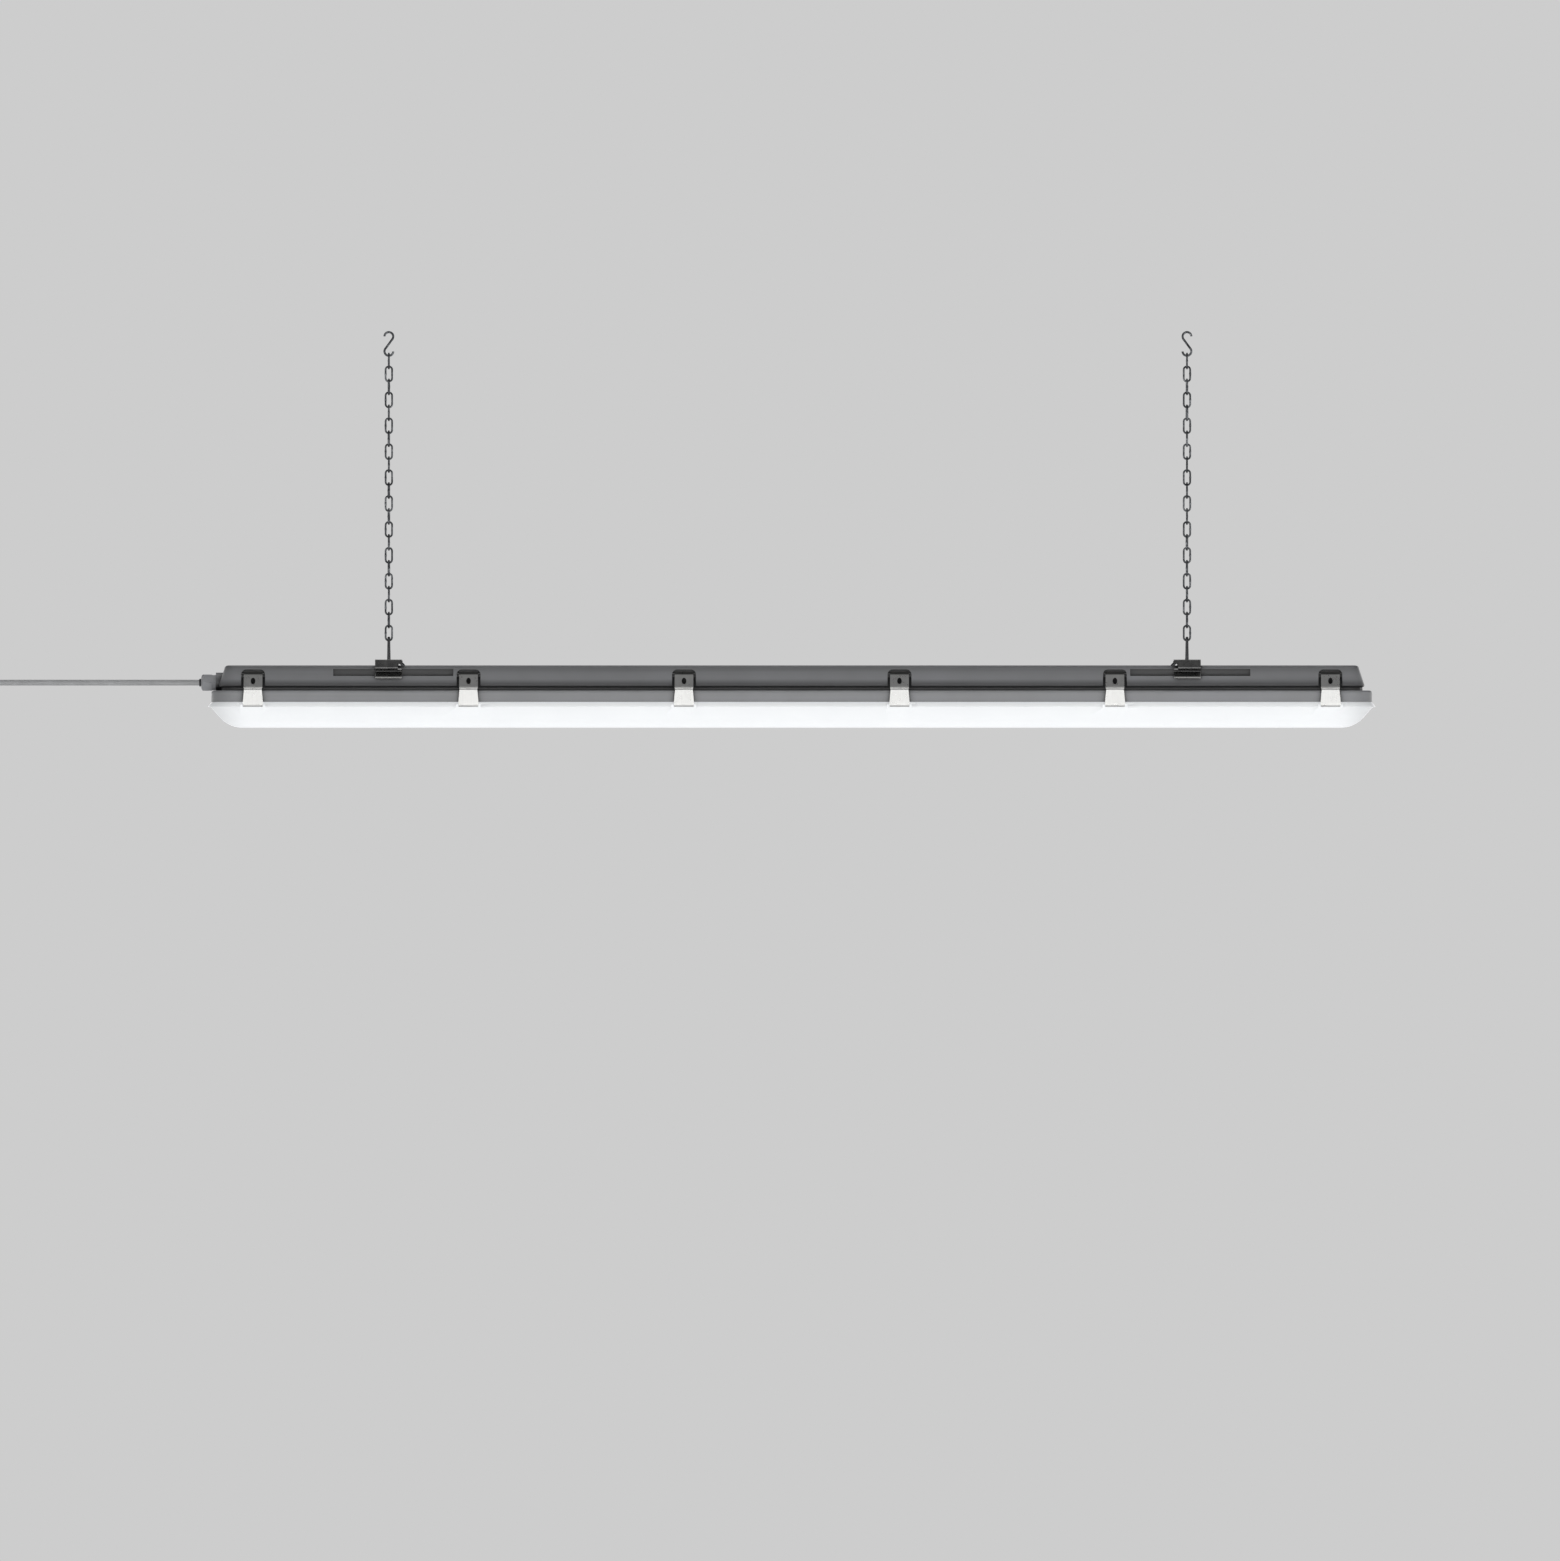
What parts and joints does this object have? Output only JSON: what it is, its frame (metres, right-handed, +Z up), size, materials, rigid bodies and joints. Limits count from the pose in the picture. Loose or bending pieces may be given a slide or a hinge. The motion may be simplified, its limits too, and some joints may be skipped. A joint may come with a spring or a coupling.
{
  "type": "hanging shop light",
  "caption": "Long weatherproof batten light with a boat-shaped opal diffuser held by spring latches, hung level on chains, with a cord at one end.",
  "frame": {"origin": "midway between the two points where the ceiling hooks bear, inside the S-hooks' upper bows", "axes": "+X along the lamp towards the end without a cord, +Y towards the rear side, +Z up"},
  "size_m": [1.538, 0.0892, 0.4164],
  "materials": {
    "housing_plastic": "moulded grey polycarbonate, fine satin",
    "opal_diffuser": "opal polycarbonate, lit from behind",
    "foam_gasket": "poured foam",
    "white_enamel": "white baked enamel",
    "zinc_screws": "zinc plated",
    "led_board": "white solder mask",
    "led_phosphor": "yellow phosphor",
    "driver_plastic": "moulded, fine texture",
    "terminal_nylon": "natural nylon",
    "lead_pvc": "wire insulation",
    "cord_pvc": "light grey PVC jacket",
    "gland_nylon": "moulded nylon",
    "seal_rubber": "moulded rubber",
    "stainless": "bright rolled stainless steel",
    "spring_steel": "dull rolled spring steel",
    "chain_steel": "dull zinc plated wire",
    "brass_pins": "plain brass"
  },
  "bodies": {
    "ceiling_hooks": {"s_hook_left": "chain_steel", "s_hook_right": "chain_steel"},
    "top_link_left": {"top_link_left": "chain_steel"},
    "chain_left": {"chain_left": "chain_steel"},
    "end_link_left": {"end_link_left": "chain_steel"},
    "hanger_left": {"v_hook_left": "spring_steel", "bracket_left": "spring_steel"},
    "lamp": {"housing": "housing_plastic", "diffuser": "opal_diffuser", "gasket": "foam_gasket", "gear_tray": "white_enamel", "tray_screws": "zinc_screws", "led_board_left": "led_board", "led_board_right": "led_board", "leds": "led_phosphor", "driver_case": "driver_plastic", "driver_cover": "driver_plastic", "terminal_block": "terminal_nylon", "inner_leads": "lead_pvc", "inner_cable": "cord_pvc", "gland_body": "gland_nylon", "gland_nut": "gland_nylon", "gland_seal": "seal_rubber", "gland_locknut": "gland_nylon", "latch_pins": "stainless", "power_cord": "cord_pvc", "plug_body": "cord_pvc", "plug_blades": "brass_pins", "plug_ground_pin": "brass_pins"},
    "hanger_right": {"v_hook_right": "spring_steel", "bracket_right": "spring_steel"},
    "top_link_right": {"top_link_right": "chain_steel"},
    "chain_right": {"chain_right": "chain_steel"},
    "end_link_right": {"end_link_right": "chain_steel"},
    "latch_front_1": {"latch_front_1": "stainless"},
    "latch_front_2": {"latch_front_2": "stainless"},
    "latch_front_3": {"latch_front_3": "stainless"},
    "latch_front_4": {"latch_front_4": "stainless"},
    "latch_front_5": {"latch_front_5": "stainless"},
    "latch_front_6": {"latch_front_6": "stainless"},
    "latch_rear_1": {"latch_rear_1": "stainless"},
    "latch_rear_2": {"latch_rear_2": "stainless"},
    "latch_rear_3": {"latch_rear_3": "stainless"},
    "latch_rear_4": {"latch_rear_4": "stainless"},
    "latch_rear_5": {"latch_rear_5": "stainless"},
    "latch_rear_6": {"latch_rear_6": "stainless"}
  },
  "joints": [
    {"name": "swing_fore_aft", "type": "hinge", "parent": "ceiling_hooks", "child": "top_link_left", "pos_m": [-0.419, 0, -0.0236], "axis": [1, 0, 0], "range_deg": [-20, 20]},
    {"name": "swing_along", "type": "hinge", "parent": "top_link_left", "child": "chain_left", "pos_m": [-0.419, 0, -0.037], "axis": [0, 1, 0], "range_deg": [-12, 12]},
    {"name": "end_link_left_level", "type": "hinge", "parent": "chain_left", "child": "end_link_left", "pos_m": [-0.419, 0, -0.309], "axis": [0, 1, 0], "range_deg": [-12, 12]},
    {"name": "lamp_tilt", "type": "hinge", "parent": "end_link_left", "child": "hanger_left", "pos_m": [-0.419, 0, -0.3226], "axis": [1, 0, 0], "range_deg": [-20, 20]},
    {"name": "lamp_slide", "type": "slide", "parent": "hanger_left", "child": "lamp", "axis": [1, 0, 0], "range_m": [-0.04, 0.04]},
    {"name": "bracket_slide_right", "type": "slide", "parent": "lamp", "child": "hanger_right", "axis": [1, 0, 0], "range_m": [-0.04, 0.04]},
    {"name": "swing_fore_aft_right", "type": "hinge", "parent": "ceiling_hooks", "child": "top_link_right", "pos_m": [0.419, 0, -0.0236], "axis": [1, 0, 0], "range_deg": [-20, 20]},
    {"name": "swing_along_right", "type": "hinge", "parent": "top_link_right", "child": "chain_right", "pos_m": [0.419, 0, -0.037], "axis": [0, 1, 0], "range_deg": [-12, 12]},
    {"name": "end_link_right_level", "type": "hinge", "parent": "chain_right", "child": "end_link_right", "pos_m": [0.419, 0, -0.309], "axis": [0, 1, 0], "range_deg": [-12, 12]},
    {"name": "latch_front_1_hinge", "type": "hinge", "parent": "lamp", "child": "latch_front_1", "pos_m": [-0.561, -0.0269, -0.35715], "axis": [-1, 0, 0], "range_deg": [0, 90]},
    {"name": "latch_front_2_hinge", "type": "hinge", "parent": "lamp", "child": "latch_front_2", "pos_m": [-0.335, -0.0269, -0.35715], "axis": [-1, 0, 0], "range_deg": [0, 90]},
    {"name": "latch_front_3_hinge", "type": "hinge", "parent": "lamp", "child": "latch_front_3", "pos_m": [-0.109, -0.0269, -0.35715], "axis": [-1, 0, 0], "range_deg": [0, 90]},
    {"name": "latch_front_4_hinge", "type": "hinge", "parent": "lamp", "child": "latch_front_4", "pos_m": [0.117, -0.0269, -0.35715], "axis": [-1, 0, 0], "range_deg": [0, 90]},
    {"name": "latch_front_5_hinge", "type": "hinge", "parent": "lamp", "child": "latch_front_5", "pos_m": [0.343, -0.0269, -0.35715], "axis": [-1, 0, 0], "range_deg": [0, 90]},
    {"name": "latch_front_6_hinge", "type": "hinge", "parent": "lamp", "child": "latch_front_6", "pos_m": [0.569, -0.0269, -0.35715], "axis": [-1, 0, 0], "range_deg": [0, 90]},
    {"name": "latch_rear_1_hinge", "type": "hinge", "parent": "lamp", "child": "latch_rear_1", "pos_m": [-0.561, 0.0269, -0.35715], "axis": [1, 0, 0], "range_deg": [0, 90]},
    {"name": "latch_rear_2_hinge", "type": "hinge", "parent": "lamp", "child": "latch_rear_2", "pos_m": [-0.335, 0.0269, -0.35715], "axis": [1, 0, 0], "range_deg": [0, 90]},
    {"name": "latch_rear_3_hinge", "type": "hinge", "parent": "lamp", "child": "latch_rear_3", "pos_m": [-0.109, 0.0269, -0.35715], "axis": [1, 0, 0], "range_deg": [0, 90]},
    {"name": "latch_rear_4_hinge", "type": "hinge", "parent": "lamp", "child": "latch_rear_4", "pos_m": [0.117, 0.0269, -0.35715], "axis": [1, 0, 0], "range_deg": [0, 90]},
    {"name": "latch_rear_5_hinge", "type": "hinge", "parent": "lamp", "child": "latch_rear_5", "pos_m": [0.343, 0.0269, -0.35715], "axis": [1, 0, 0], "range_deg": [0, 90]},
    {"name": "latch_rear_6_hinge", "type": "hinge", "parent": "lamp", "child": "latch_rear_6", "pos_m": [0.569, 0.0269, -0.35715], "axis": [1, 0, 0], "range_deg": [0, 90]}
  ],
  "couplings": [
    {"joint": "end_link_left_level", "follows": "swing_along", "ratio": -1},
    {"joint": "bracket_slide_right", "follows": "lamp_slide", "ratio": -1},
    {"joint": "swing_fore_aft_right", "follows": "swing_fore_aft", "ratio": 1},
    {"joint": "swing_along_right", "follows": "swing_along", "ratio": 1},
    {"joint": "end_link_right_level", "follows": "swing_along", "ratio": -1}
  ]
}
